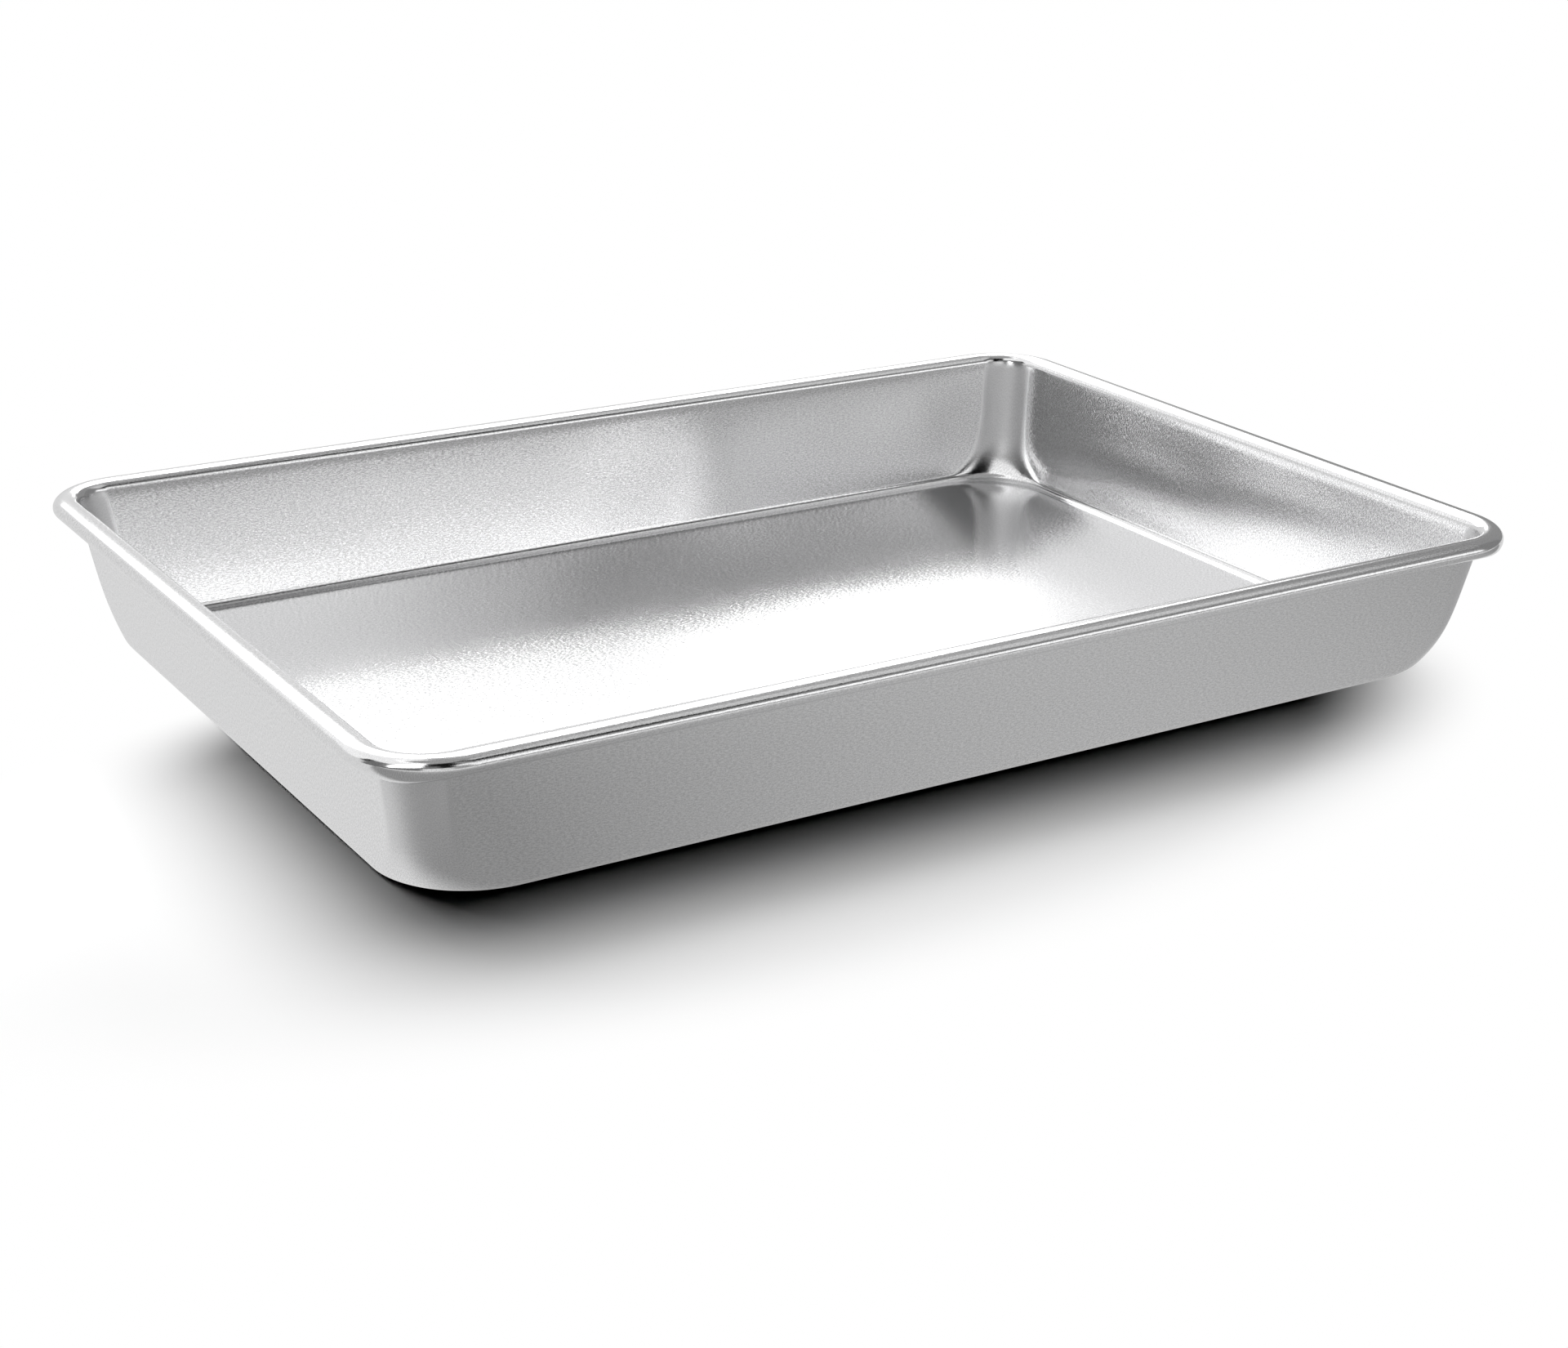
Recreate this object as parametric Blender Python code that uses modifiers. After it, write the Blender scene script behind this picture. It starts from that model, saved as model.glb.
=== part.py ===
"""Roasting pan: one pressed aluminium sheet whose rim is curled round a steel wire.

X runs along the pan, Y across it and Z up. The origin is under the middle of the
floor, on the surface that the pan stands on. Lengths are in metres.
"""

from math import acos, atan, cos, pi, radians, sin, tan

import bmesh
import bpy

# Overall size
RIM_LENGTH = 0.455
RIM_WIDTH = 0.320
HEIGHT = 0.054
SHEET = 0.0012

# Walls and floor
WALL_TAPER = radians(9.3)
BOTTOM_RADIUS = 0.0042
RIM_CORNER_RADIUS = 0.030
WALL_CORNER_RADIUS = 0.015
FLOOR_CORNER_RADIUS = 0.034
CORNER_BLEND_POWER = 8

# Curled rim and the wire inside it
BEAD_WIDTH = 0.0108
WIRE_DIAMETER = 0.004
WIRE_CLEARANCE = 0.0003
WIRE_BUTT_GAP = 0.001
LIP_GAP = 0.0006
CORNER_LIP_DROP = 0.0017

# Fineness of the rounded stretches
CORNER_STEPS = 10
FILLET_STEPS = 4
WALL_STEPS = 7
BEAD_QUARTER_STEPS = 5
LIP_STEPS = 7

# The curl closes round the wire, so the wire sets its height
BEAD_HEIGHT = WIRE_DIAMETER + 2 * (SHEET + WIRE_CLEARANCE)
BEAD_HALF_WIDTH = BEAD_WIDTH / 2
BEAD_HALF_HEIGHT = BEAD_HEIGHT / 2
BEAD_CENTRE_Z = HEIGHT - BEAD_HALF_HEIGHT

# The wall runs into the bead's oval where both lean by the taper
MEETING = atan(tan(WALL_TAPER) * BEAD_HALF_HEIGHT / BEAD_HALF_WIDTH)
WALL_TOP_INSET = BEAD_HALF_WIDTH * (1 + cos(MEETING))
WALL_TOP_Z = BEAD_CENTRE_Z + BEAD_HALF_HEIGHT * sin(MEETING)

# The fillet between wall and floor, on the food side
INNER_FILLET = BOTTOM_RADIUS - SHEET
WALL_FOOT_Z = SHEET + INNER_FILLET * (1 - sin(WALL_TAPER))

# The lip clears the wall by the lip gap, and by a little more where the wall leans away
LIP_REACH = BEAD_HALF_WIDTH - SHEET - LIP_GAP
LIP_ANGLE = acos(LIP_REACH / BEAD_HALF_WIDTH) - pi


def spread(first, last, steps):
    """Equal steps from first to last, without the first."""
    return [first + (last - first) * k / steps for k in range(1, steps + 1)]


def wall_inset(z):
    """How far the inner face of a straight wall lies inside the rim's outline."""
    return WALL_TOP_INSET + (WALL_TOP_Z - z) * tan(WALL_TAPER)


def wall_corner_radius(z):
    """Plan radius of the corner, nearly even down the wall and wide at the floor."""
    drop = (WALL_TOP_Z - z) / (WALL_TOP_Z - SHEET)
    growth = FLOOR_CORNER_RADIUS - WALL_CORNER_RADIUS
    return WALL_CORNER_RADIUS + growth * drop**CORNER_BLEND_POWER


def bead_corner_radius(inset):
    """Plan radius of the corner between the rim's outline and the top of the wall."""
    share = inset / WALL_TOP_INSET
    return RIM_CORNER_RADIUS + (WALL_CORNER_RADIUS - RIM_CORNER_RADIUS) * share


def rings():
    """The sheet's upper face as rounded rectangles, from the floor's edge to the lip.

    Each ring is (inset from the rim's outline, plan radius, height, sag in the corner).
    """
    found = []
    fillet_inset = wall_inset(WALL_FOOT_Z) + INNER_FILLET * cos(WALL_TAPER)
    for angle in [pi / 2] + spread(pi / 2, WALL_TAPER, FILLET_STEPS):
        z = SHEET + INNER_FILLET * (1 - sin(angle))
        inset = fillet_inset - INNER_FILLET * cos(angle)
        found.append((inset, wall_corner_radius(z), z, 0))
    for share in spread(0, 1, WALL_STEPS):
        # The rings crowd towards the foot, where the corner widens
        z = WALL_FOOT_Z + (WALL_TOP_Z - WALL_FOOT_Z) * share**2
        found.append((wall_inset(z), wall_corner_radius(z), z, 0))
    bead_angles = spread(pi - MEETING, pi / 2, BEAD_QUARTER_STEPS)
    bead_angles += spread(pi / 2, 0, BEAD_QUARTER_STEPS)
    bead_angles += spread(0, LIP_ANGLE, LIP_STEPS)
    for angle in bead_angles:
        inset = BEAD_HALF_WIDTH * (1 - cos(angle))
        z = BEAD_CENTRE_Z + BEAD_HALF_HEIGHT * sin(angle)
        sag = CORNER_LIP_DROP * max(0, -sin(angle))
        found.append((inset, bead_corner_radius(inset), z, sag))
    return found


def corner_point(ring, turn):
    """A ring's position at one angle of the corner at +X, +Y."""
    inset, radius, z, sag = ring
    x = RIM_LENGTH / 2 - inset - radius * (1 - cos(turn))
    y = RIM_WIDTH / 2 - inset - radius * (1 - sin(turn))
    return x, y, z - sag * sin(2 * turn) ** 2


def carry_to_middle(bm, column, axis):
    """Extrude a corner's end along the straight side to the pan's middle plane."""
    chain = [bm.edges.get(pair) for pair in zip(column, column[1:])]
    made = bmesh.ops.extrude_edge_only(bm, edges=chain)["geom"]
    moved = [item for item in made if isinstance(item, bmesh.types.BMVert)]
    for vert in moved:
        vert.co[axis] = 0
    return min(moved, key=lambda vert: abs(vert.co.x) + abs(vert.co.y))


def quarter_skin():
    """A quarter of the sheet's upper face, open at the two middle planes."""
    bm = bmesh.new()
    levels = rings()
    turns = [0] + spread(0, pi / 2, CORNER_STEPS)
    columns = [[bm.verts.new(corner_point(ring, turn)) for ring in levels] for turn in turns]
    # The corner's radius changes from ring to ring, so its sections are lofted
    for near, far in zip(columns, columns[1:]):
        for k in range(len(levels) - 1):
            bm.faces.new((near[k], far[k], far[k + 1], near[k + 1]))
    end_floor = carry_to_middle(bm, columns[0], 1)
    side_floor = carry_to_middle(bm, columns[-1], 0)
    middle = bm.verts.new((0, 0, SHEET))
    bm.faces.new([middle, end_floor] + [column[0] for column in columns] + [side_floor])
    bmesh.ops.recalc_face_normals(bm, faces=bm.faces)
    if middle.link_faces[0].normal.z < 0:
        bmesh.ops.reverse_faces(bm, faces=bm.faces)
    mesh = bpy.data.meshes.new("pan_body")
    bm.to_mesh(mesh)
    bm.free()
    mesh.shade_smooth()
    return mesh


def metal(name, colour, roughness):
    material = bpy.data.materials.new(name)
    material.use_nodes = True
    shader = material.node_tree.nodes["Principled BSDF"]
    shader.inputs["Base Color"].default_value = (*colour, 1)
    shader.inputs["Metallic"].default_value = 1
    shader.inputs["Roughness"].default_value = roughness
    return material


def make_pan_body(collection):
    """The pressed sheet: a quarter mirrored twice, thickened away from the food side."""
    body = bpy.data.objects.new("pan_body", quarter_skin())
    collection.objects.link(body)
    body.data.materials.append(metal("satin_aluminium", (0.8, 0.8, 0.81), 0.3))
    mirror = body.modifiers.new("four_quarters", "MIRROR")
    mirror.use_axis = (True, True, False)
    mirror.merge_threshold = 0.00001
    sheet = body.modifiers.new("sheet", "SOLIDIFY")
    sheet.thickness = SHEET
    sheet.offset = -1
    sheet.use_even_offset = True
    sheet.use_quality_normals = True
    return body


def wire_route():
    """Points along the wire's middle line, from one side of its butt joint to the other."""
    radius = bead_corner_radius(BEAD_HALF_WIDTH)
    centre_x = RIM_LENGTH / 2 - BEAD_HALF_WIDTH - radius
    centre_y = RIM_WIDTH / 2 - BEAD_HALF_WIDTH - radius
    side_y = RIM_WIDTH / 2 - BEAD_HALF_WIDTH
    route = [(WIRE_BUTT_GAP / 2, side_y)]
    corners = ((1, 1), (1, -1), (-1, -1), (-1, 1))
    for number, (end, side) in enumerate(corners):
        first = pi / 2 * (1 - number)
        for angle in [first] + spread(first, first - pi / 2, CORNER_STEPS):
            x = end * centre_x + radius * cos(angle)
            y = side * centre_y + radius * sin(angle)
            route.append((x, y))
    route.append((-WIRE_BUTT_GAP / 2, side_y))
    return [(x, y, BEAD_CENTRE_Z) for x, y in route]


def make_rim_wire(collection):
    """The steel wire that stiffens the rim, bent to a hoop with its ends butted."""
    curve = bpy.data.curves.new("rim_wire", "CURVE")
    curve.dimensions = "3D"
    curve.bevel_depth = WIRE_DIAMETER / 2
    curve.bevel_resolution = 2
    curve.use_fill_caps = True
    spline = curve.splines.new("POLY")
    route = wire_route()
    spline.points.add(len(route) - 1)
    for point, position in zip(spline.points, route):
        point.co = (*position, 1)
    wire = bpy.data.objects.new("rim_wire", curve)
    collection.objects.link(wire)
    curve.materials.append(metal("galvanised_steel", (0.55, 0.56, 0.57), 0.45))
    return wire


def main():
    for item in list(bpy.data.objects):
        bpy.data.objects.remove(item, do_unlink=True)
    collection = bpy.data.collections.new("roasting_pan")
    bpy.context.scene.collection.children.link(collection)
    make_pan_body(collection)
    make_rim_wire(collection)


main()
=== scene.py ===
# %% [markdown]
# A roasting pan, dressed
#
# The pan is one sheet of aluminium, pressed into a tray with sloping walls, whose edge is
# curled outwards and down over a steel wire. This notebook loads the measured solids, models
# a fine version of the pressed sheet over them, gives sheet and wire their metal finishes,
# and sets up the small studio that the metal mirrors.

from math import acos, atan, cos, degrees, pi, radians, sin, tan

import bmesh
import bpy
from mathutils import Matrix, Vector


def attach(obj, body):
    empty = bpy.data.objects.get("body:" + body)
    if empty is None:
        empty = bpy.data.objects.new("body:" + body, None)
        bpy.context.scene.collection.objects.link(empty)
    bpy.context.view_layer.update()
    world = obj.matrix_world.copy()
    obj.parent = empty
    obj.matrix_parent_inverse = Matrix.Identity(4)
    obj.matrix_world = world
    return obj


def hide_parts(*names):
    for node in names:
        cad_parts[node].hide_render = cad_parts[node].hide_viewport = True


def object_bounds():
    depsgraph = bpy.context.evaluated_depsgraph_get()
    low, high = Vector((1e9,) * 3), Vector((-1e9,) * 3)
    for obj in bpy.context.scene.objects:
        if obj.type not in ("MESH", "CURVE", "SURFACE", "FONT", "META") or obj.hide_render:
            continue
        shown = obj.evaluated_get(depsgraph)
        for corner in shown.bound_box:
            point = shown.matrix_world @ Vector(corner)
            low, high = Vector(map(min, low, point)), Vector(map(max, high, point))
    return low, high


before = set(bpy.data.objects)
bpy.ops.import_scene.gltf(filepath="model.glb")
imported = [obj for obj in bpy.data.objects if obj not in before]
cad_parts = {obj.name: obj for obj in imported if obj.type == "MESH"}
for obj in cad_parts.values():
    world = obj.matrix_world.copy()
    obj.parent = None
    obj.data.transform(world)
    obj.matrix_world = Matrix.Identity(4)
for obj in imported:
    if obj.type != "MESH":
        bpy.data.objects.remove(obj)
cad_lowest, cad_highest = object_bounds()
size = cad_highest - cad_lowest
print("solids:", sorted(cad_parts), "box:", tuple(size))

# %% [markdown]
# The camera
#
# The photograph looks along the pan from its near left corner, about 21 degrees above the
# table. A long lens keeps the walls almost parallel. The camera is placed by an azimuth, an
# elevation and a distance round a point on the table, which is easier to adjust than a
# position and three angles.

# %% Camera
CAMERA_AZIMUTH = radians(-32.01)
CAMERA_ELEVATION = radians(20.85)
CAMERA_ROLL = radians(0.9)
CAMERA_DISTANCE = 0.9725
CAMERA_TARGET = Vector((-0.01184, -0.02699, 0))
CAMERA_LENS = 61.22
CAMERA_CLIP_START = 0.01


def round_the_target(azimuth, elevation):
    """The direction from the target to a camera at this azimuth and elevation."""
    return Vector((sin(azimuth) * cos(elevation), -cos(azimuth) * cos(elevation), sin(elevation)))


def make_camera():
    data = bpy.data.cameras.new("camera")
    data.lens = CAMERA_LENS
    data.clip_start = CAMERA_CLIP_START
    camera = bpy.data.objects.new("camera", data)
    bpy.context.scene.collection.objects.link(camera)
    back = round_the_target(CAMERA_AZIMUTH, CAMERA_ELEVATION)
    level = Vector((cos(CAMERA_AZIMUTH), sin(CAMERA_AZIMUTH), 0))
    up = back.cross(level)
    right = level * cos(CAMERA_ROLL) + up * sin(CAMERA_ROLL)
    up = up * cos(CAMERA_ROLL) - level * sin(CAMERA_ROLL)
    turn = Matrix((right, up, back)).transposed().to_4x4()
    camera.matrix_world = Matrix.Translation(CAMERA_TARGET + back * CAMERA_DISTANCE) @ turn
    bpy.context.scene.camera = camera
    return camera


camera = make_camera()
print("camera at", tuple(round(c, 3) for c in camera.matrix_world.translation))

# %% [markdown]
# Shader maths as plain expressions
#
# A metal finish is mostly arithmetic on a few noises. The class below wraps a node's output
# so that `grain * 0.2 + 1` adds the Math nodes by itself. Every other node comes from one
# method that takes the node's type, its settings and the values or links of its sockets.

# %% A small shader language
WHITE = (1, 1, 1, 1)


class Value:
    """A socket that Python's operators work on."""

    def __init__(self, finish, socket):
        self.finish = finish
        self.socket = socket

    def maths(self, operation, *others):
        inputs = dict(enumerate([self, *others]))
        return self.finish.node("ShaderNodeMath", {"operation": operation}, inputs)

    def __add__(self, other):
        return self.maths("ADD", other)

    def __mul__(self, other):
        return self.maths("MULTIPLY", other)

    def __sub__(self, other):
        return self.maths("SUBTRACT", other)

    def __rsub__(self, other):
        inputs = {0: other, 1: self}
        return self.finish.node("ShaderNodeMath", {"operation": "SUBTRACT"}, inputs)

    def __truediv__(self, other):
        return self.maths("DIVIDE", other)

    __radd__ = __add__
    __rmul__ = __mul__

    def above(self, low, high):
        """0 below low, 1 above high, eased between them."""
        settings = {"interpolation_type": "SMOOTHSTEP"}
        inputs = {"Value": self, "From Min": low, "From Max": high}
        return self.finish.node("ShaderNodeMapRange", settings, inputs)


class Finish:
    """A node tree under construction: one method adds a node, the others name common ones."""

    def __init__(self, name=None, tree=None):
        if tree is None:
            self.material = bpy.data.materials.new(name)
            self.material.use_nodes = True
            tree = self.material.node_tree
        self.tree = tree
        self.tree.nodes.clear()

    def node(self, kind, settings=None, inputs=None, output=0):
        made = self.tree.nodes.new(kind)
        for key, setting in (settings or {}).items():
            setattr(made, key, setting)
        for key, value in (inputs or {}).items():
            self.feed(made.inputs[key], value)
        return None if output is None else Value(self, made.outputs[output])

    def feed(self, socket, value):
        if isinstance(value, Value):
            self.tree.links.new(value.socket, socket)
        else:
            socket.default_value = value

    def vectors(self, operation, first, second):
        return self.node("ShaderNodeVectorMath", {"operation": operation}, {0: first, 1: second})

    def noise(self, where, fineness, detail):
        """A noise of so many grains a metre, given as one number or as one for each axis."""
        if isinstance(fineness, tuple):
            where = self.vectors("MULTIPLY", where, fineness)
            fineness = 1
        inputs = {"Vector": where, "Scale": fineness, "Detail": detail}
        return self.node("ShaderNodeTexNoise", {}, inputs)

    def parts(self, vector):
        """The three numbers of a vector."""
        split = self.node("ShaderNodeSeparateXYZ", {}, {"Vector": vector}).socket.node
        return [Value(self, socket) for socket in split.outputs]

    def blend(self, share, dark, light):
        """A colour between two, by a share."""
        inputs = {0: share, 6: dark, 7: light}
        return self.node("ShaderNodeMix", {"data_type": "RGBA"}, inputs, output=2)

    def glow(self, tone):
        return self.node("ShaderNodeEmission", {}, {"Color": WHITE, "Strength": tone})

    def metal(self, tone, rough, **other):
        inputs = {"Base Color": tone, "Metallic": 1.0, "Roughness": rough, **other}
        return self.node("ShaderNodeBsdfPrincipled", {}, inputs)

    def mixed(self, share, first, second):
        """One surface where the share is 0 and another where it is 1."""
        return self.node("ShaderNodeMixShader", {}, {0: share, 1: first, 2: second})

    def ray_is(self, kind):
        """1 for rays of one kind, such as those from the camera or off metal, 0 for others."""
        return self.node("ShaderNodeLightPath", output=f"Is {kind} Ray")

    def output(self, surface, kind="ShaderNodeOutputMaterial"):
        self.node(kind, {}, {"Surface": surface}, output=None)
        return getattr(self, "material", None)


print("shader helpers ready")

# %% [markdown]
# The studio
#
# Bare metal shows its surroundings more than itself, so the studio is part of the picture. It
# could be one set of lamps for everything, but the soft shadow on the table and the bands in
# the metal ask for different light. So soft panels light the table alone, and the metal
# mirrors a plain room: bright and dark stretches of wall, a reflector beside the camera, and
# the tone of the table. The dark stretches are what draws the lines along the rim.

# %% Table
TABLE_SIZE = 12.0
TABLE_COLOUR = (0.9, 0.9, 0.9, 1)
# The stretch of table that takes real shadow, an ellipse, and where it fades to plain white
SHADOW_MIDDLE = (-0.078, -0.10, 0)
SHADOW_REACH = (0.285, 0.145, 1)
SHADOW_FADE = (0.8, 1.1)
# The tone that the metal mirrors is painted: painted shadow of the pan before the near side
TONE_MIRRORED_ROUND = 0.77
TONE_PAINTED_SHADOW_FRONT = 0.31
FRONT_EDGE = (-0.145, -0.125)
FRONT_FADE = (-0.45, -0.17)
FRONT_MIDDLE = 0.08
FRONT_HALF_LENGTH = 0.25
FRONT_RISE = 0.2
# Painted shade behind the far right end
BEHIND_EDGE = (0.17, 0.30)
BEHIND_SIDE = (-0.1, 0.15)
BEHIND_PAINTED_SHADE = 0.6


def table_seen(finish, place):
    """The table as it looks: real light and shadow near the pan, plain white further off."""
    offset = finish.vectors("SUBTRACT", place, SHADOW_MIDDLE)
    share = finish.vectors("DIVIDE", offset, SHADOW_REACH)
    away = finish.node("ShaderNodeVectorMath", {"operation": "LENGTH"}, {0: share}, "Value")
    cloth = finish.node("ShaderNodeBsdfDiffuse", {}, {"Color": TABLE_COLOUR})
    plain = away.above(*SHADOW_FADE) * finish.ray_is("Camera")
    return finish.mixed(plain, cloth, finish.glow(1.0))


def table_mirrored(finish, place):
    """The table as the metal shows it: a glow with painted shadow and painted shade."""
    x, y, _ = finish.parts(place)
    # Painted shadow of the pan before its near side, as a dip in the glow's tone
    in_front = 1 - y.above(*FRONT_EDGE)
    along = (x - FRONT_MIDDLE) / FRONT_HALF_LENGTH
    middle = (1 - along * along).maths("MAXIMUM", 0)
    shadow_depth = TONE_MIRRORED_ROUND - TONE_PAINTED_SHADOW_FRONT - middle * FRONT_RISE
    tone = TONE_MIRRORED_ROUND - in_front * shadow_depth * y.above(*FRONT_FADE)
    # Painted shade behind the far right end
    tone = tone - y.above(*BEHIND_EDGE) * x.above(*BEHIND_SIDE) * BEHIND_PAINTED_SHADE
    return finish.glow(tone)


def make_table():
    bpy.ops.mesh.primitive_plane_add(size=TABLE_SIZE, location=(0, 0, 0))
    table = bpy.context.object
    table.name = "table"
    finish = Finish("white_table")
    place = finish.node("ShaderNodeTexCoord", output="Object")
    seen = table_seen(finish, place)
    mirrored = table_mirrored(finish, place)
    both = finish.mixed(finish.ray_is("Glossy"), seen, mirrored)
    table.data.materials.append(finish.output(both))
    return table


bpy.ops.object.select_all(action="DESELECT")
table = make_table()
print("table", tuple(table.dimensions))

# %% Soft panels for the table
# name: azimuth and elevation in degrees, distance from the pan, width, height, tone
TABLE_LIGHTS = {
    "back_key": (-10, 50, 0.8, 0.9, 0.7, 2.75),
    "back_wash": (0, 20, 1.0, 2.0, 0.7, 0.59),
    "high_wash": (-20, 62, 0.9, 1.4, 0.9, 1.23),
    "right_wash": (70, 25, 1.0, 1.2, 0.6, 3.07),
    "overhead": (-10, 80, 0.8, 0.9, 0.7, 0.75),
    "ceiling": (0, 88, 0.9, 1.2, 1.0, 0.83),
}


def soft_panel(name, place, aim, width, height, tone):
    """A soft panel whose face shows the given tone, turned from its place towards its aim."""
    data = bpy.data.lights.new(name, "AREA")
    data.shape = "RECTANGLE"
    data.size = width
    data.size_y = height
    # Pi watts to the square metre give the lamp's face a tone of 1
    data.energy = tone * pi * width * height
    panel = bpy.data.objects.new(name, data)
    bpy.context.scene.collection.objects.link(panel)
    facing = (aim - place).normalized()
    across = Vector((0, 0, 1)).cross(facing).normalized()
    turn = Matrix((across, across.cross(facing), -facing)).transposed().to_4x4()
    panel.matrix_world = Matrix.Translation(place) @ turn
    panel.visible_camera = False
    return panel


def light_table(name, azimuth, elevation, distance, width, height, tone):
    """A panel that lights the table and that the metal doesn't show."""
    a = radians(azimuth)
    e = radians(elevation)
    place = Vector((sin(a) * cos(e), cos(a) * cos(e), sin(e))) * distance
    panel = soft_panel(name, place, Vector((0, 0, 0)), width, height, tone)
    panel.visible_glossy = False
    # The table's shadow rays alone reach the lamp so, and they are the rays that the pan stops
    panel.data.cycles.use_multiple_importance_sampling = False


for name, settings in TABLE_LIGHTS.items():
    light_table(name, *settings)
print("table lit by", list(TABLE_LIGHTS))

# %% A reflector beside the camera
REFLECTOR_PLACE = Vector((-0.58, -0.30, 0.34))
REFLECTOR_AIM = Vector((-0.60, 0.1, 0.3))
REFLECTOR_WIDTH = 0.52
REFLECTOR_HEIGHT = 0.34
REFLECTOR_TONE = 2.1

# Only the metal sees this card, which brightens the right end wall
reflector = soft_panel(
    "reflector", REFLECTOR_PLACE, REFLECTOR_AIM, REFLECTOR_WIDTH, REFLECTOR_HEIGHT, REFLECTOR_TONE
)
reflector.visible_diffuse = False
print("reflector at", tuple(REFLECTOR_PLACE))

# %% The room that the metal mirrors
# name: azimuth of the left and right end, lowest and highest elevation in degrees, and a tone
# that is added there, or taken away where it is negative
ROOM_WALLS = {
    "backdrop": (-75, 41, -5, 24, 0.77),
    "backdrop_corner": (31, 36.5, 13, 24, 2.3),
    "backdrop_left": (-65, -5, 24, 45, 1.05),
    "backdrop_right": (-5, 46, 24, 56, 4.0),
    "backdrop_gap": (38.5, 42.5, 24, 36, -3.6),
    "back_ceiling": (-145, 20, 45, 76, 1.0),
    "ceiling": (-200, 200, 70, 95, 0.36),
    "left_wall": (-165, -75, -5, 45, 0.17),
    "front_left": (-180, -145, -5, 22, 0.65),
    "right_gap": (41, 80, -5, 45, 0.3),
    "right_high": (80, 128, 46, 68, 0.65),
    "right_ceiling": (20, 80, 45, 70, 0.44),
    "right_far": (80, 120, -5, 45, 0.24),
    "right_wall": (120, 180, -5, 30, 0.35),
    "right_window": (125, 160, 10, 30, 0.85),
    "right_shelf": (118, 148, 30, 45, 0.25),
    "right_lamp": (150, 175, 30, 45, 1.0),
    "right_window_top": (145, 165, 45, 65, 0.34),
}
EDGE_SOFTNESS = 3


def room_wall(finish, x, y, elevation, left, right, low, high):
    """1 within a stretch of the room and 0 round it, measured from its middle."""
    middle = radians((left + right) / 2)
    ahead = x * sin(middle) + y * cos(middle)
    aside = x * cos(middle) - y * sin(middle)
    azimuth = aside.maths("ARCTAN2", ahead).maths("ABSOLUTE") * degrees(1)
    half = (right - left) / 2
    inside = 1 - azimuth.above(half - EDGE_SOFTNESS, half + EDGE_SOFTNESS)
    inside = inside * elevation.above(low - EDGE_SOFTNESS, low + EDGE_SOFTNESS)
    return inside * (1 - elevation.above(high - EDGE_SOFTNESS, high + EDGE_SOFTNESS))


def make_room():
    """The metal mirrors the room's walls, and the camera sees plain white in their place."""
    world = bpy.data.worlds.new("studio")
    bpy.context.scene.world = world
    world.use_nodes = True
    world.cycles_visibility.diffuse = False
    finish = Finish(tree=world.node_tree)
    x, y, z = finish.parts(finish.node("ShaderNodeTexCoord", output="Generated"))
    elevation = z.maths("ARCSINE") * degrees(1)
    tone = 0
    for left, right, low, high, wall_tone in ROOM_WALLS.values():
        tone = tone + wall_tone * room_wall(finish, x, y, elevation, left, right, low, high)
    lit = finish.node("ShaderNodeBackground", {}, {"Color": WHITE, "Strength": tone})
    plain = finish.node("ShaderNodeBackground", {}, {"Color": WHITE, "Strength": 1.0})
    both = finish.mixed(finish.ray_is("Camera"), lit, plain)
    finish.output(both, "ShaderNodeOutputWorld")


make_room()
bpy.context.scene.view_settings.view_transform = "Standard"
print("room walls:", list(ROOM_WALLS))

# %% [markdown]
# The pressed sheet, level by level
#
# A press draws the flat blank into levels that are all rounded rectangles: the floor's edge,
# the small fillet at the foot of the wall, the tapered wall and the curl. The corner's radius
# is wide at the floor and narrow in the wall, so plain scaling or insetting can't make one
# level from another. Instead each level is added as a plane of its own size, its corners are
# bevelled round, and neighbouring levels are bridged.

# %% Sizes of the sheet
SHEET = 0.0012
WALL_TAPER = radians(9.3)
INNER_FILLET = 0.003
RIM_CORNER_RADIUS = 0.030
WALL_CORNER_RADIUS = 0.015
FLOOR_CORNER_RADIUS = 0.034
CORNER_BLEND_POWER = 6
BEAD_HALF_WIDTH = 0.0054
BEAD_HALF_HEIGHT = 0.0035
LIP_GAP = 0.0006
CORNER_LIP_DROP = 0.0017

BEAD_CENTRE_Z = size.z - BEAD_HALF_HEIGHT
MEETING = atan(tan(WALL_TAPER) * BEAD_HALF_HEIGHT / BEAD_HALF_WIDTH)
WALL_TOP_INSET = BEAD_HALF_WIDTH * (1 + cos(MEETING))
WALL_TOP_Z = BEAD_CENTRE_Z + BEAD_HALF_HEIGHT * sin(MEETING)
WALL_FOOT_Z = SHEET + INNER_FILLET * (1 - sin(WALL_TAPER))
LIP_ANGLE = acos((BEAD_HALF_WIDTH - SHEET - LIP_GAP) / BEAD_HALF_WIDTH) - pi
print("bead centre at", round(BEAD_CENTRE_Z, 4), "wall top at", round(WALL_TOP_Z, 4))

# %% Levels from the floor's edge to the lip
CORNER_STEPS = 32
FILLET_STEPS = 8
WALL_STEPS = 20
BEAD_QUARTER_STEPS = 12
LIP_STEPS = 6
# The wall's levels crowd towards its foot, where the corner widens
WALL_CROWDING = 1.6


def spread(first, last, steps):
    """Equal steps from first to last, without the first."""
    return [first + (last - first) * k / steps for k in range(1, steps + 1)]


def wall_inset(z):
    return WALL_TOP_INSET + (WALL_TOP_Z - z) * tan(WALL_TAPER)


def wall_corner_radius(z):
    drop = (WALL_TOP_Z - z) / (WALL_TOP_Z - SHEET)
    growth = FLOOR_CORNER_RADIUS - WALL_CORNER_RADIUS
    return WALL_CORNER_RADIUS + growth * drop**CORNER_BLEND_POWER


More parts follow.
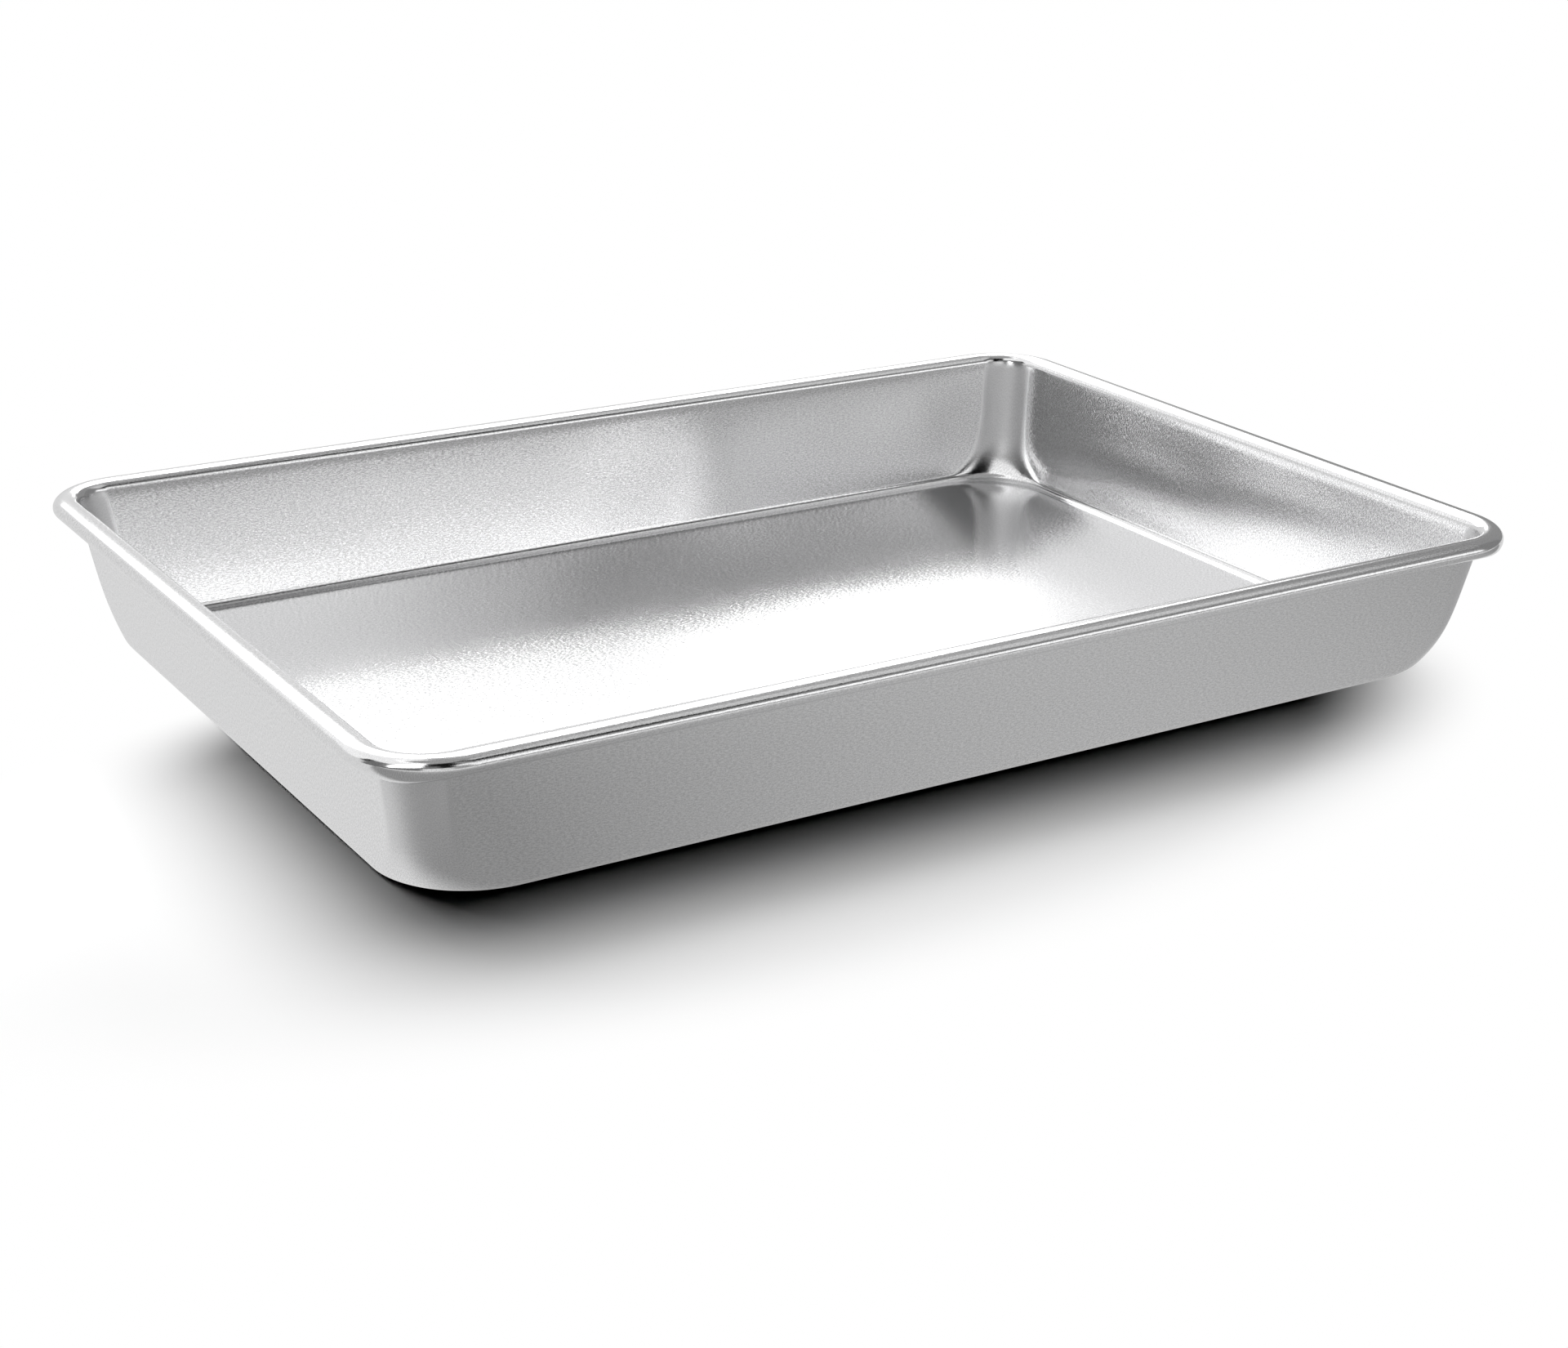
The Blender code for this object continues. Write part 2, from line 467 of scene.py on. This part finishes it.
def levels():
    """(inset from the rim's outline, corner radius, height, sag in the corner) of each level."""
    found = []
    fillet_inset = wall_inset(WALL_FOOT_Z) + INNER_FILLET * cos(WALL_TAPER)
    for angle in [pi / 2] + spread(pi / 2, WALL_TAPER, FILLET_STEPS):
        z = SHEET + INNER_FILLET * (1 - sin(angle))
        found.append((fillet_inset - INNER_FILLET * cos(angle), wall_corner_radius(z), z, 0))
    for share in spread(0, 1, WALL_STEPS):
        z = WALL_FOOT_Z + (WALL_TOP_Z - WALL_FOOT_Z) * share**WALL_CROWDING
        found.append((wall_inset(z), wall_corner_radius(z), z, 0))
    quarters = (pi - MEETING, pi / 2, 0, -pi / 2)
    curl = []
    for start, end in zip(quarters, quarters[1:]):
        curl += spread(start, end, BEAD_QUARTER_STEPS)
    curl += spread(-pi / 2, LIP_ANGLE, LIP_STEPS)
    for angle in curl:
        inset = BEAD_HALF_WIDTH * (1 - cos(angle))
        share = inset / WALL_TOP_INSET
        radius = RIM_CORNER_RADIUS + (WALL_CORNER_RADIUS - RIM_CORNER_RADIUS) * share
        sag = CORNER_LIP_DROP * max(0, -sin(angle))
        found.append((inset, radius, BEAD_CENTRE_Z + BEAD_HALF_HEIGHT * sin(angle), sag))
    return found


def runs(found):
    """How far each level lies from the floor's edge, measured along the sheet."""
    total = [0.0]
    for (inset, _, z, _), (next_inset, _, next_z, _) in zip(found, found[1:]):
        step = ((next_inset - inset) ** 2 + (next_z - z) ** 2) ** 0.5
        total.append(total[-1] + step)
    return total


def floor_corner(floor_level):
    """The middle of the floor's corner arc at +X and +Y, and the arc's radius."""
    inset, radius, _, _ = floor_level
    return Vector((size.x / 2 - inset - radius, size.y / 2 - inset - radius)), radius


sheet_levels = levels()
sheet_runs = runs(sheet_levels)
floor_arc, floor_radius = floor_corner(sheet_levels[0])
print(len(sheet_levels), "levels,", round(sheet_runs[-1] * 1000, 1), "mm of sheet past the floor")

# %% [markdown]
# Where each point lay on the flat blank
#
# The grain of rolled sheet is ruled into the blank before it is pressed, so it runs along the
# floor, along the long walls and up the end walls. To draw it, every point keeps its place on
# the flat blank. The two numbers are stored while the levels are made, because only then is it
# plain which way each point moved outwards.

# %% Add a level and note its place on the blank
def outward_way(x, y, half_x, half_y, radius):
    """A level's outward direction in plan at one of its points."""
    centre = Vector((max(-half_x + radius, min(half_x - radius, x)), 0))
    centre.y = max(-half_y + radius, min(half_y - radius, y))
    return (Vector((x, y)) - centre).normalized()


def note_place(layers, vert, outward, run):
    """Keep a point's place on the blank and its run from the floor's edge."""
    arc_x = floor_arc.x if vert.co.x > 0 else -floor_arc.x
    arc_y = floor_arc.y if vert.co.y > 0 else -floor_arc.y
    vert[layers["blank_x"]] = arc_x + outward.x * (floor_radius + run)
    vert[layers["blank_y"]] = arc_y + outward.y * (floor_radius + run)
    vert[layers["run"]] = run


def add_level(level, run):
    inset, radius, z, sag = level
    half_x = size.x / 2 - inset
    half_y = size.y / 2 - inset
    bpy.ops.mesh.select_all(action="DESELECT")
    bpy.ops.mesh.primitive_plane_add(size=1, location=(0, 0, z))
    bpy.ops.transform.resize(value=(2 * half_x, 2 * half_y, 1), center_override=(0, 0, z))
    bpy.ops.mesh.bevel(affect="VERTICES", offset=radius, segments=CORNER_STEPS, profile=0.5)
    mesh = bmesh.from_edit_mesh(bpy.context.object.data)
    layers = mesh.verts.layers.float
    for vert in (v for v in mesh.verts if v.select):
        outward = outward_way(vert.co.x, vert.co.y, half_x, half_y, radius)
        note_place(layers, vert, outward, run)
        vert.co.z -= sag * (2 * outward.x * outward.y) ** 2
    bmesh.update_edit_mesh(bpy.context.object.data)
    bpy.ops.mesh.delete(type="ONLY_FACE")


def start_sheet():
    mesh = bpy.data.meshes.new("pressed_sheet")
    for name in ("blank_x", "blank_y", "run"):
        mesh.attributes.new(name, "FLOAT", "POINT")
    sheet = bpy.data.objects.new("pressed_sheet", mesh)
    bpy.context.scene.collection.objects.link(sheet)
    bpy.context.view_layer.objects.active = sheet
    sheet.select_set(True)
    return sheet


bpy.ops.object.select_all(action="DESELECT")
sheet = start_sheet()
bpy.ops.object.mode_set(mode="EDIT")
for level, run in zip(sheet_levels, sheet_runs):
    add_level(level, run)
mesh = bmesh.from_edit_mesh(sheet.data)
print(len(mesh.verts), "points in", len(sheet_levels), "levels")

# %% Bridge each level to the next
SAME_RUN = 0.00001


def select_levels(numbers):
    """Select the edges that lie on one of these levels, known by their run from the floor."""
    bpy.ops.mesh.select_all(action="DESELECT")
    mesh = bmesh.from_edit_mesh(bpy.context.object.data)
    sheet_run = mesh.verts.layers.float["run"]
    for edge in mesh.edges:
        first, second = (vert[sheet_run] for vert in edge.verts)
        if abs(first - second) < SAME_RUN:
            on_level = (abs(first - sheet_runs[number]) < SAME_RUN for number in numbers)
            edge.select_set(any(on_level))
    bmesh.update_edit_mesh(bpy.context.object.data)


bpy.ops.mesh.select_mode(type="EDGE")
for number in range(len(sheet_levels) - 1):
    select_levels({number, number + 1})
    bpy.ops.mesh.bridge_edge_loops()
select_levels({0})
bpy.ops.mesh.edge_face_add()
mesh = bmesh.from_edit_mesh(sheet.data)
print(len(mesh.faces), "faces after bridging")

# %% Cut the straight sides so that they can bend a little
LONG_SIDE_SPACING = 0.0124
LONG_SIDE_CUTS_EACH_WAY = 14
SHORT_SIDE_SPACING = 0.0125
SHORT_SIDE_CUTS_EACH_WAY = 8
# The cuts are closer where the crease lies
CREASE_CUTS_START = 0.1145
CREASE_SPACING = 0.0018
CREASE_CUTS = 11


def both_ways(spacing, each_way):
    """Even places to both sides of the middle, the middle included."""
    return [spacing * k for k in range(-each_way, each_way + 1)]


def cut_across(places, direction):
    """Slice the sheet at each place along an axis."""
    for place in places:
        bpy.ops.mesh.select_all(action="SELECT")
        bpy.ops.mesh.bisect(plane_co=Vector(direction) * place, plane_no=direction)


cut_across(both_ways(LONG_SIDE_SPACING, LONG_SIDE_CUTS_EACH_WAY), (1, 0, 0))
cut_across(both_ways(SHORT_SIDE_SPACING, SHORT_SIDE_CUTS_EACH_WAY), (0, 1, 0))
cut_across([CREASE_CUTS_START + CREASE_SPACING * k for k in range(CREASE_CUTS)], (0, 1, 0))
bpy.ops.mesh.select_all(action="SELECT")
bpy.ops.mesh.normals_make_consistent(inside=False)
bpy.ops.object.mode_set(mode="OBJECT")
floor_face = min(sheet.data.polygons, key=lambda face: face.center.length)
if floor_face.normal.z < 0:
    sheet.data.flip_normals()
print(len(sheet.data.polygons), "faces after the cuts, floor faces up:", floor_face.normal.z > 0)

# %% [markdown]
# What pressing and handling do to the sheet
#
# A pressed wall is never quite flat: it springs back in long shallow waves, a tenth or two
# of a millimetre high, which only show because metal mirrors. The lip gathers into small
# puckers at the corners, where the curl has too much sheet. Displace modifiers with a cloud
# texture make both, and a vertex group keeps each where it belongs. The near side's bow, the
# wave that runs along one end wall and a crease under the rim have their own places, so
# their points are moved by formula.

# %% Waves in the walls and the floor, puckers in the lip
WALL_RUNS = (sheet_runs[FILLET_STEPS], sheet_runs[FILLET_STEPS + WALL_STEPS])
LIP_RUNS = (sheet_runs[-LIP_STEPS - BEAD_QUARTER_STEPS // 2], sheet_runs[-1])
PUCKER_FADE = 0.006


def wave(piece, name, weight_of, spacing, height, direction="NORMAL", still=0.5):
    """Push the sheet by a cloud pattern, whose level `still` stays, as far as weights let it."""
    run_of = [item.value for item in piece.data.attributes["run"].data]
    weights = [weight_of(vertex.co, run) for vertex, run in zip(piece.data.vertices, run_of)]
    group = piece.vertex_groups.new(name=name)
    for index, weight in enumerate(weights):
        group.add([index], weight, "REPLACE")
    pattern = bpy.data.textures.new(name, "CLOUDS")
    pattern.noise_scale = spacing
    pattern.noise_depth = 0
    push = piece.modifiers.new(name, "DISPLACE")
    push.texture = pattern
    push.texture_coords = "LOCAL"
    push.direction = direction
    push.strength = height
    push.mid_level = still
    push.vertex_group = name
    bpy.ops.object.modifier_apply(modifier=name)
    piece.vertex_groups.clear()


def hump(value, low, high):
    """1 in the middle between low and high, falling smoothly to 0 at both."""
    share = (value - low) / (high - low)
    return sin(pi * share) ** 2 if 0 < share < 1 else 0.0


def in_wall(place, run):
    return hump(run, *WALL_RUNS) ** 0.5


def in_floor(place, run):
    near_edge = max(abs(place.x) / (size.x / 2), abs(place.y) / (size.y / 2))
    return 1 - near_edge**2 if run < SAME_RUN and near_edge < 1 else 0.0


def in_corner_lip(place, run):
    corner_x = abs(place.x) - (size.x / 2 - RIM_CORNER_RADIUS)
    corner_y = abs(place.y) - (size.y / 2 - RIM_CORNER_RADIUS)
    past_end = min(corner_x, corner_y)
    if past_end < -PUCKER_FADE or run < LIP_RUNS[0]:
        return 0.0
    ends = min(1, (past_end + PUCKER_FADE) / PUCKER_FADE)
    return ends * min(1, (run - LIP_RUNS[0]) / (LIP_RUNS[1] - LIP_RUNS[0]))


wave(sheet, "wall_waves", in_wall, spacing=0.055, height=0.0005)
wave(sheet, "floor_waves", in_floor, spacing=0.11, height=0.0004, still=0)
wave(sheet, "lip_puckers", in_corner_lip, spacing=0.006, height=0.0016, direction="Z")
print("waves laid into", len(sheet.data.vertices), "points")

# %% Bow of the near side
NEAR_SIDE_BOW = 0.00045


def bow_near_side(piece):
    """The ends of the near side lie a little further in than its middle."""
    for vertex in piece.data.vertices:
        place = vertex.co
        toward_end = (place.x / (size.x / 2)) ** 2
        toward_near_side = max(0, -place.y / (size.y / 2)) ** 2
        place.y += NEAR_SIDE_BOW * toward_end * toward_near_side


bow_near_side(sheet)
print("bow", NEAR_SIDE_BOW * 1000, "mm")

# %% Spring-back of the right end wall
SPRING_FROM_X = 0.15
SPRING_HALF_LENGTH = 0.142
SPRING_END_FADE = 0.03
SPRING_BOTTOM = 0.003
SPRING_TOP = 0.046
SPRING_BOTTOM_FADE = 0.004
SPRING_TOP_FADE = 0.01
# The wave's middle line: its height halfway along the wall, how it falls, and a dip in it
SPRING_MIDDLE = 0.022
SPRING_SLOPE = 0.098
SPRING_DIP = 0.005
SPRING_DIP_ENDS = (-0.008, 0.042)
SPRING_HALF_WAVE = 0.018
# The wave is twice as deep where it is this far towards the back corner
SPRING_DEPTH = 0.00008
SPRING_DOUBLED_AT = 0.08


def spring_fade(y, z):
    """1 in the wall's open stretch, 0 at its foot, its top and its two ends."""
    fade = min(1, (z - SPRING_BOTTOM) / SPRING_BOTTOM_FADE)
    fade *= min(1, (SPRING_TOP - z) / SPRING_TOP_FADE)
    return fade * min(1, (SPRING_HALF_LENGTH - abs(y)) / SPRING_END_FADE)


def spring_back(piece):
    """The end wall stands steeper at its foot and leans out more above, in a long wave."""
    for vertex in piece.data.vertices:
        x, y, z = vertex.co
        in_reach = x >= SPRING_FROM_X and abs(y) <= SPRING_HALF_LENGTH
        if not in_reach or not SPRING_BOTTOM < z < SPRING_TOP:
            continue
        middle = SPRING_MIDDLE - SPRING_SLOPE * y
        middle -= SPRING_DIP * hump(y, *SPRING_DIP_ENDS)
        depth = SPRING_DEPTH * (1 + max(0, y) / SPRING_DOUBLED_AT)
        phase = max(-pi, min(pi, pi * (z - middle) / SPRING_HALF_WAVE))
        vertex.co.x -= depth * spring_fade(y, z) * sin(phase)


spring_back(sheet)
print("spring-back", SPRING_DEPTH * 1000, "mm deep")

# %% Crease past the back corner
CREASE_PLACE = Vector((0.2168, 0.1265, 0.0497))
CREASE_HALF_LENGTH = 0.0085
CREASE_HALF_HEIGHT = 0.0014
CREASE_REACH_X = 0.005
CREASE_DEPTH = 0.0006


def press_crease(piece):
    """A small dent, long and low, where the curl was closed past the back corner."""
    for vertex in piece.data.vertices:
        offset = vertex.co - CREASE_PLACE
        if abs(offset.x) > CREASE_REACH_X:
            continue
        along = offset.y / CREASE_HALF_LENGTH
        upward = offset.z / CREASE_HALF_HEIGHT
        distance = (along**2 + upward**2) ** 0.5
        if distance < 1:
            vertex.co.x += CREASE_DEPTH * (1 - distance**2) ** 2


press_crease(sheet)
print("crease", CREASE_DEPTH * 1000, "mm deep")

# %% Keep the place on the blank as the piece's own map
def add_blank_map(piece):
    data = piece.data
    across = data.attributes["blank_x"].data
    along = data.attributes["blank_y"].data
    blank = data.uv_layers.new(name="blank")
    for loop in data.loops:
        vertex = loop.vertex_index
        blank.data[loop.index].uv = (across[vertex].value, along[vertex].value)


add_blank_map(sheet)
print("map:", [layer.name for layer in sheet.data.uv_layers])

# %% Give the sheet its thickness
SMOOTH_BELOW = radians(35)

thickness = sheet.modifiers.new("thickness", "SOLIDIFY")
thickness.thickness = SHEET
thickness.offset = -1
thickness.use_even_offset = True
thickness.use_quality_normals = True
bpy.ops.object.modifier_apply(modifier="thickness")
bpy.ops.object.shade_smooth_by_angle(angle=SMOOTH_BELOW)
print("sheet:", len(sheet.data.polygons), "faces, box", tuple(sheet.dimensions))

# %% [markdown]
# Satin aluminium
#
# The sheet is bare rolled aluminium. Up close it has fine speckle, a grain of short scratches
# along the rolling direction, and soft cloudy patches where the press rubbed it. The wall's
# corners, where the press squeezed it, are duller. The curl was run between rollers and is
# smoother than the rest.

# %% Aluminium finish
# Grains to the metre on the blank, both ways or along X and along Y
SPECKLE = 2200
GRAIN = (800, 2400, 1)
CLOUDS = 22
FINE_ACROSS = (800, 6500, 1)
STREAKS = (700, 2400, 1)
FINE_ALONG = (2500, 2500, 1)

ALUMINIUM_DARK = (0.68, 0.68, 0.685, 1)
ALUMINIUM_LIGHT = (0.94, 0.94, 0.945, 1)
TONE_RANGE = (0.7, 1.3)
ROUGHNESS = 0.13
CLOUDS_ROUGHER = 0.04
CORNER_ROUGHER = 0.42
# The duller corners: how far past the floor's arc on the blank, and how far up the wall
CORNER_PAST_ARC = (-0.002, 0.014)
CORNER_RUNS = (0.003, 0.022)
CURL_RUNS = (0.049, 0.053)
ACROSS_SLOPE = 0.08
STREAK_SLOPE = 0.06
ALONG_SLOPE = 0.05
CURL_SMOOTHER = 0.6


def past_arc(place, arc):
    """0 along the middle of the blank and 1 past the floor's arc, on either side."""
    start, full = CORNER_PAST_ARC
    return place.maths("ABSOLUTE").above(arc + start, arc + full)


def aluminium_roughness(finish, blank, run, curl):
    x, y, _ = finish.parts(blank)
    in_corner = past_arc(x, floor_arc.x) * past_arc(y, floor_arc.y)
    in_corner = in_corner * run.above(*CORNER_RUNS) * (1 - curl)
    clouds = (finish.noise(blank, CLOUDS, detail=3) - 0.5) * CLOUDS_ROUGHER
    return ROUGHNESS + clouds + in_corner * CORNER_ROUGHER


def grain_slopes(finish, blank, curl):
    """The grain's slopes, finer than a pixel, which spread reflections across it mostly."""
    across = (finish.noise(blank, FINE_ACROSS, detail=1) - 0.5) * ACROSS_SLOPE
    streaks = (finish.noise(blank, STREAKS, detail=2) - 0.5) * STREAK_SLOPE
    along = (finish.noise(blank, FINE_ALONG, detail=1) - 0.5) * ALONG_SLOPE
    green = 0.5 + (across + streaks) * (1 - curl * CURL_SMOOTHER)
    colour = {"Red": 0.5 + along, "Green": green, "Blue": 1.0}
    slope = finish.node("ShaderNodeCombineColor", {}, colour)
    settings = {"space": "TANGENT", "uv_map": "blank"}
    return finish.node("ShaderNodeNormalMap", settings, {"Color": slope})


def make_aluminium():
    finish = Finish("satin_aluminium")
    blank = finish.node("ShaderNodeUVMap", {"uv_map": "blank"})
    run = finish.node("ShaderNodeAttribute", {"attribute_name": "run"}, output="Fac")
    curl = run.above(*CURL_RUNS)
    speckle = finish.noise(blank, SPECKLE, detail=2) + finish.noise(blank, GRAIN, detail=2)
    tone = finish.blend(speckle.above(*TONE_RANGE), ALUMINIUM_DARK, ALUMINIUM_LIGHT)
    rough = aluminium_roughness(finish, blank, run, curl)
    return finish.output(finish.metal(tone, rough, Normal=grain_slopes(finish, blank, curl)))


sheet.data.materials.clear()
sheet.data.materials.append(make_aluminium())
# The table takes its light from the lamps alone, without what the bright metal throws back
sheet.visible_diffuse = False
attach(sheet, "root")
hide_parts("pan_body")
print("aluminium on", sheet.name)

# %% [markdown]
# Zinc-coated wire
#
# The wire lies inside the curl and only a sliver of it can be seen from below. It keeps its
# measured solid and gets the dull, crystalline grey of galvanised steel.

# %% Wire finish
ZINC_CRYSTALS = 900
ZINC_DARK = (0.42, 0.43, 0.45, 1)
ZINC_LIGHT = (0.66, 0.67, 0.68, 1)
ZINC_ROUGHNESS = 0.33
ZINC_ROUGHER = 0.25


def make_zinc():
    finish = Finish("galvanised_steel")
    place = finish.node("ShaderNodeTexCoord", output="Object")
    crystals = finish.noise(place, ZINC_CRYSTALS, detail=3)
    tone = finish.blend(crystals, ZINC_DARK, ZINC_LIGHT)
    return finish.output(finish.metal(tone, crystals * ZINC_ROUGHER + ZINC_ROUGHNESS))


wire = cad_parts["rim_wire"]
wire.data.materials.clear()
wire.data.materials.append(make_zinc())
print("zinc on", wire.name)
